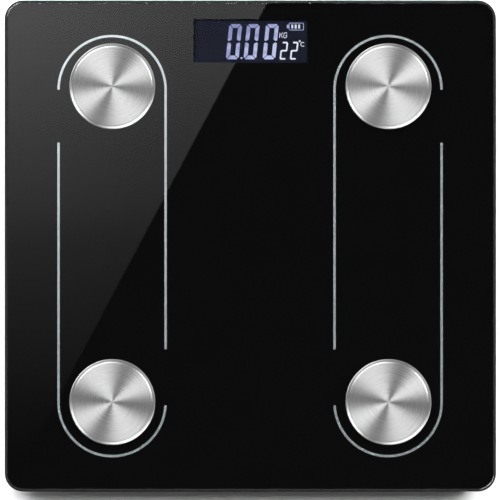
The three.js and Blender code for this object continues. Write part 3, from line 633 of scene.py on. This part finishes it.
def supports(plastic, pad):
    """Each foot: a moulded cup and a rubber pad with fine tread rings, on the body that moves with it."""
    for corner in CORNERS:
        body = "support_" + corner
        lo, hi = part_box("support_cup_" + corner)
        cover_lo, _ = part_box("bottom_cover")
        centre = ((lo.x + hi.x) / 2, (lo.y + hi.y) / 2)
        flange, radius = (hi.x - lo.x) / 2, (hi.x - lo.x) / 2 - 1.4 * MM
        step, top = cover_lo.z + 2.5 * MM, hi.z
        pad_lo, pad_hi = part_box("support_pad_" + corner)
        pad_radius = (pad_hi.x - pad_lo.x) / 2
        seat = pad_hi.z + 0.1 * MM
        well = pad_radius + 0.2 * MM
        cup = [(0, top), (5 * MM, top), (5 * MM, top - 0.9 * MM), (flange, top - 0.9 * MM), (flange, step),
               (radius, step), (radius, lo.z + 0.8 * MM), (radius - 0.25 * MM, lo.z + 0.25 * MM),
               (radius - 0.8 * MM, lo.z), (well, lo.z), (well, seat), (0, seat)]
        cup_mesh = lathe("foot_cup_" + corner, cup, 96, centre)
        add_object("foot_cup_" + corner, cup_mesh, plastic, body, ["support_cup_" + corner])
        tread = [(0, pad_hi.z), (pad_radius, pad_hi.z), (pad_radius, pad_lo.z + 0.6 * MM),
                 (pad_radius - 0.6 * MM, pad_lo.z)]
        for k in range(3):
            outer = pad_radius - (1.5 + 1.3 * k) * MM
            tread += [(outer, pad_lo.z), (outer - 0.15 * MM, pad_lo.z + 0.3 * MM),
                      (outer - 0.45 * MM, pad_lo.z + 0.3 * MM), (outer - 0.6 * MM, pad_lo.z)]
        tread += [(10.2 * MM, pad_lo.z), (9.8 * MM, pad_lo.z + 0.5 * MM), (0, pad_lo.z + 0.5 * MM)]
        pad_mesh = lathe("foot_pad_" + corner, tread, 96, centre)
        add_object("foot_pad_" + corner, pad_mesh, pad, body, ["support_pad_" + corner])


def unit_button(plastic):
    """The button under the scale, dished for a fingertip."""
    lo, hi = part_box("unit_button")
    centre = ((lo.x + hi.x) / 2, (lo.y + hi.y) / 2)
    flange = (hi.x - lo.x) / 2
    cap = flange - 1.5 * MM
    flange_top, flange_bottom = hi.z - 0.3 * MM, hi.z - 1.0 * MM
    profile = [(0, hi.z), (2 * MM, hi.z), (2 * MM, flange_top), (flange, flange_top), (flange, flange_bottom),
               (cap, flange_bottom), (cap, lo.z + 0.5 * MM), (cap - 0.15 * MM, lo.z + 0.15 * MM),
               (cap - 0.5 * MM, lo.z), (cap - 1.2 * MM, lo.z + 0.12 * MM), (cap - 2.6 * MM, lo.z + 0.28 * MM),
               (0, lo.z + 0.32 * MM)]
    mesh = lathe("unit_button_cap", profile, 64, centre)
    add_object("unit_button_cap", mesh, plastic, "unit_button", ["unit_button"])


def leaning(points, left, bottom):
    """Figures lean to the right, about their bottom-left corner."""
    return [(left + x + y * math.tan(FIGURE_LEAN), bottom + y) for x, y in points]


def zero_segments(left, bottom):
    """The six lit segments of a nought, with mitred corners and a pointed waist."""
    w, h, s, g, c = (DIGIT[k] for k in ("width", "height", "stroke", "gap", "corner"))
    middle = h / 2
    waist = middle + 1.5 * g
    top = [(c, h), (w - c, h), (w - c / 2 - g, h - c / 2), (w - s - g, h - s), (s + g, h - s),
           (c / 2 + g, h - c / 2)]
    upper = [(0, h - c), (c / 2, h - c / 2 - g), (s, h - s - g), (s, waist + s * 0.4), (s * 0.4, waist),
             (0, waist + s * 0.2)]
    shapes = []
    for flip in (False, True):
        shapes.append([(x, h - y) if flip else (x, y) for x, y in top])
        for mirror in (False, True):
            shapes.append([(w - x if mirror else x, h - y if flip else y) for x, y in upper])
    return [[leaning(shape, left, bottom)] for shape in shapes]


def small_two(left, bottom):
    w, h, s = (SMALL_DIGIT[k] for k in ("width", "height", "stroke"))
    path = [(0.5 * MM, h), (w - 0.5 * MM, h), (w, h - 0.5 * MM), (w, h / 2 + 0.4 * MM), (w - 0.5 * MM, h / 2),
            (0.5 * MM, h / 2), (0, h / 2 - 0.4 * MM), (0, 0.4 * MM), (0.4 * MM, 0), (w - 0.3 * MM, 0)]
    return [stroke(leaning(path, left, bottom), s)]


def letter_strokes(left, bottom):
    """The unit mark: K and G, in thin strokes."""
    h, pen = 3.1 * MM, 0.4 * MM
    lines = [[(0, 0), (0, h)], [(1.7 * MM, h), (0.25 * MM, h * 0.45)], [(0.8 * MM, h * 0.6), (1.8 * MM, 0)],
             [(4.3 * MM, h * 0.8), (3.9 * MM, h), (2.9 * MM, h), (2.5 * MM, h * 0.8), (2.5 * MM, h * 0.2),
              (2.9 * MM, 0), (3.9 * MM, 0), (4.3 * MM, h * 0.2), (4.3 * MM, h * 0.5), (3.6 * MM, h * 0.5)]]
    return [[stroke(leaning(line, left, bottom), pen)] for line in lines]


def degree_mark(x, y):
    ring = [circle(x, y, 0.62 * MM, 16), circle(x, y, 0.22 * MM, 12)]
    letter = [stroke(arc(x + 1.85 * MM, y - 1.9 * MM, 1.2 * MM, 45, 315, 14), 0.42 * MM)]
    return [ring, letter]


def battery_icon(left, bottom):
    """The battery mark: its outline, with the terminal to the left, and its three bars."""
    w, h, t, pen = 10.3 * MM, 4.6 * MM, 1.2 * MM, 0.38 * MM
    outer = [(t, 0.5 * MM), (t + 0.5 * MM, 0), (w - 0.4 * MM, 0), (w, 0.4 * MM), (w, h - 0.4 * MM),
             (w - 0.4 * MM, h), (t + 0.5 * MM, h), (t, h - 0.5 * MM), (t, h * 0.72), (0, h * 0.72),
             (0, h * 0.28), (t, h * 0.28)]
    inner = rectangle(t + pen, w - pen, pen, h - pen)
    bars = [rectangle(x * MM, (x + 1.15) * MM, 1.1 * MM, h - 1.1 * MM) for x in (2.7, 4.8, 6.9)]

    def placed(shapes):
        return [[[(left + x, bottom + y) for x, y in loop] for loop in loops] for loops in shapes]

    return placed([[outer, inner]]), placed([[bar] for bar in bars])


def display_figures(main, bright):
    x0, x1, y0, y1 = window_box()
    cx, cy = (x0 + x1) / 2, (y0 + y1) / 2
    _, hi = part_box("display_panel")
    z0, z1 = hi.z + 0.01 * MM, hi.z + 0.04 * MM

    def add(name, shapes, material):
        placed = [[[(cx + x, cy + y) for x, y in loop] for loop in loops] for loops in shapes]
        points, faces = plates(placed, z0, z1)
        add_object(name, mesh_from(name, points, faces), material)

    digits = [shape for left in DIGIT_LEFT for shape in zero_segments(left, DIGIT_BOTTOM)]
    digits.append([circle(-5.45 * MM, DIGIT_BOTTOM + 0.75 * MM, 0.6 * MM, 20)])
    add("display_digits", digits, main)
    add("display_unit", letter_strokes(17.75 * MM, 2.0 * MM), bright)
    add("display_degrees", [small_two(18.3 * MM, -10.85 * MM), small_two(24.6 * MM, -10.85 * MM),
                            *degree_mark(30.15 * MM, -0.1 * MM)], bright)
    outline, bars = battery_icon(22.3 * MM, 6.55 * MM)
    add("display_battery", outline, main)
    add("display_battery_bars", bars, bright)


def finish_cad_nodes(frame, finishes):
    """Each CAD node that is still shown gets a finish by the start of its name."""
    for name, node in frame["nodes"].items():
        finish = next(m for start, m in finishes if name.startswith(start))
        node.data.materials.clear()
        node.data.materials.append(finish)


# ---- Studio ----
def studio_world(camera_height, glass_top):
    """Soft light with two large lamps on the far side. It is dark straight overhead, so that the glass looks
    black from above, apart from one softbox whose slanting edge the glass mirrors."""
    world = bpy.data.worlds.new("studio")
    bpy.context.scene.world = world
    world.use_nodes = True
    graph = Graph(world.node_tree)
    direction = graph.add("ShaderNodeTexCoord").outputs["Generated"]
    x, y, z = graph.add("ShaderNodeSeparateXYZ", {0: direction}).outputs
    from_zenith = graph.math("ARCCOSINE", z)
    squares = graph.math("MULTIPLY_ADD", x, x, graph.math("MULTIPLY", y, y))
    flat = graph.math("MAXIMUM", graph.math("SQRT", squares), 1e-4)

    def towards(azimuth, half_width, softness):
        """1 within half_width degrees of that azimuth, fading to 0 past it."""
        a = math.radians(azimuth)
        along = graph.math("MULTIPLY_ADD", y, math.sin(a), graph.math("MULTIPLY", x, math.cos(a)))
        cosine = graph.math("DIVIDE", along, flat)
        outer, inner = (math.cos(math.radians(half_width + s * softness)) for s in (1, -1))
        return graph.band(cosine, outer, inner)

    def between(low, high, softness):
        """1 between those angles from the zenith, in degrees, fading to 0 past them."""
        lows, highs = ([math.radians(edge + s * softness) for s in (-1, 1)] for edge in (low, high))
        return graph.math("MULTIPLY", graph.band(from_zenith, *lows),
                          graph.band(from_zenith, *highs, 1.0, 0.0))

    light = graph.band(y, -0.15, 0.25, SKY["near"], SKY["far"])
    around = graph.band(from_zenith, math.radians(2), math.radians(5))
    overhead = graph.math("MULTIPLY", graph.math("SUBTRACT", 1.0, around), SKY["overhead"])
    light = graph.math("MULTIPLY_ADD", light, around, overhead)
    for azimuth, half_width, low, high, side_blur, end_blur, radiance in LAMPS:
        shape = between(low, high, end_blur)
        if azimuth is not None:
            shape = graph.math("MULTIPLY", shape, towards(azimuth, half_width, side_blur))
        light = graph.math("MULTIPLY_ADD", shape, radiance, light)

    # The glass mirrors the sky: its point (x, y) shows the direction (x - aim x, y - aim y) / distance
    distance = camera_height - glass_top
    lean = math.tan(SOFTBOX_LEAN)
    up = graph.math("MAXIMUM", z, 0.02)
    u, v = graph.math("DIVIDE", x, up), graph.math("DIVIDE", y, up)
    edge = (SOFTBOX_EDGE[0] - VIEW_AIM[0] + lean * (VIEW_AIM[1] - SOFTBOX_EDGE[1])) / distance
    inside = graph.math("ADD", graph.math("SUBTRACT", graph.math("MULTIPLY", v, lean), u), edge)
    half = GLASS_HALF / distance
    along = graph.math("MULTIPLY_ADD", v, 0.5 / half, 0.5)
    fade = graph.ramp(along, SOFTBOX_FADE)
    fade = graph.math("MULTIPLY", fade, graph.band(u, -half, -0.05 * half, 1.24, 0.78))
    blur = 0.6 * MM / distance
    softbox = graph.math("MULTIPLY", graph.band(inside, -blur, blur), fade)
    near_zenith = graph.band(from_zenith, math.radians(2), math.radians(3.5), 1.0, 0.0)
    softbox = graph.math("MULTIPLY", softbox, near_zenith)
    light = graph.math("MULTIPLY_ADD", softbox, SKY["softbox"], light)
    background = graph.add("ShaderNodeBackground", {"Color": light, "Strength": 1.0})
    graph.add("ShaderNodeOutputWorld", {"Surface": background.outputs[0]})


def pale_floor():
    mesh = bpy.data.meshes.new("floor")
    corners = rectangle(-FLOOR_HALF, FLOOR_HALF, -FLOOR_HALF, FLOOR_HALF)
    mesh.from_pydata([(x, y, FLOOR_LEVEL) for x, y in corners], [], [(0, 1, 2, 3)])
    floor = bpy.data.objects.new("floor", mesh)
    bpy.context.scene.collection.objects.link(floor)
    material, graph = new_material("floor")
    cloud = graph.noise(scaled(graph), 3.0, 2.0)
    tone = graph.ramp(cloud, [(0.3, 0.86), (0.7, 0.9)])
    principled(graph, {"Base Color": tone, "Roughness": 0.9, "Specular IOR Level": 0.1})
    mesh.materials.append(material)


def camera_above(glass_top):
    data = bpy.data.cameras.new("camera")
    data.lens = LENS
    data.sensor_width = SENSOR
    data.clip_start, data.clip_end = 0.1, 100
    camera = bpy.data.objects.new("camera", data)
    bpy.context.scene.collection.objects.link(camera)
    height = glass_top + VIEW_WIDTH * LENS / SENSOR
    camera.matrix_world = Matrix.Translation((*VIEW_AIM, height))
    bpy.context.scene.camera = camera
    return height


def main():
    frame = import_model()
    glass_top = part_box("glass_platform")[1].z

    housing = moulded_plastic("housing_plastic", (0.012, 0.0125, 0.0135), 0.55)
    nickel = plain_metal("nickel_plate", (0.62, 0.60, 0.55), 0.3)
    finishes = [
        ("cover_screw", nickel), ("board_screw", nickel), ("electrode_nut", nickel), ("contact_", nickel),
        ("electrode_lead", wire_jacket("white_wire", (0.62, 0.62, 0.60))),
        ("cell_cable", wire_jacket("grey_cable", (0.5, 0.5, 0.5))),
        ("battery_lead_positive", wire_jacket("red_wire", (0.42, 0.02, 0.012))),
        ("battery_lead_negative", wire_jacket("black_wire", (0.012, 0.012, 0.012))),
        ("battery_door", housing), ("battery_", battery_sleeve()),
        ("load_cell", plain_metal("ground_steel", (0.36, 0.37, 0.38), 0.4)),
        ("radio_module", plain_metal("tinned_can", (0.5, 0.52, 0.54), 0.35)),
        ("main_board", circuit_board()),
        ("display_panel", display_dark()),
        ("display_backlight", moulded_plastic("light_guide", (0.75, 0.78, 0.84), 0.4)),
        ("zebra_connector", moulded_plastic("elastomer", (0.26, 0.24, 0.21), 0.8)),
        ("controller_chip", moulded_plastic("resin", (0.006, 0.006, 0.006), 0.3)),
        ("tact_switch", moulded_plastic("switch_case", (0.008, 0.008, 0.008), 0.4)),
        ("bond_tape", foam_tape()),
        ("", housing),
    ]
    finish_cad_nodes(frame, finishes)

    tempered = clear_glass("tempered_glass", 1.5, (0.93, 0.97, 0.95))
    coated = clear_glass("coated_glass", 1.08, (0.97, 0.98, 0.98))
    glass_platform(tempered, coated, dark_edge())
    print_layer(black_print())
    print_tracks(silver_print())
    electrodes(spun_steel(), polished_rim())
    supports(moulded_plastic("foot_plastic", (0.014, 0.0145, 0.0155), 0.5), rubber())
    unit_button(moulded_plastic("button_plastic", (0.06, 0.062, 0.066), 0.5))
    display_figures(lit_figure("lit_segment", (0.24, 0.255, 0.50), (0.52, 0.56, 0.82)),
                    lit_figure("lit_segment_bright", (0.55, 0.58, 0.74), (0.80, 0.84, 0.95)))

    pale_floor()
    camera_height = camera_above(glass_top)
    studio_world(camera_height, glass_top)
    bpy.context.scene.view_settings.view_transform = "Standard"

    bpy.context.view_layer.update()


main()
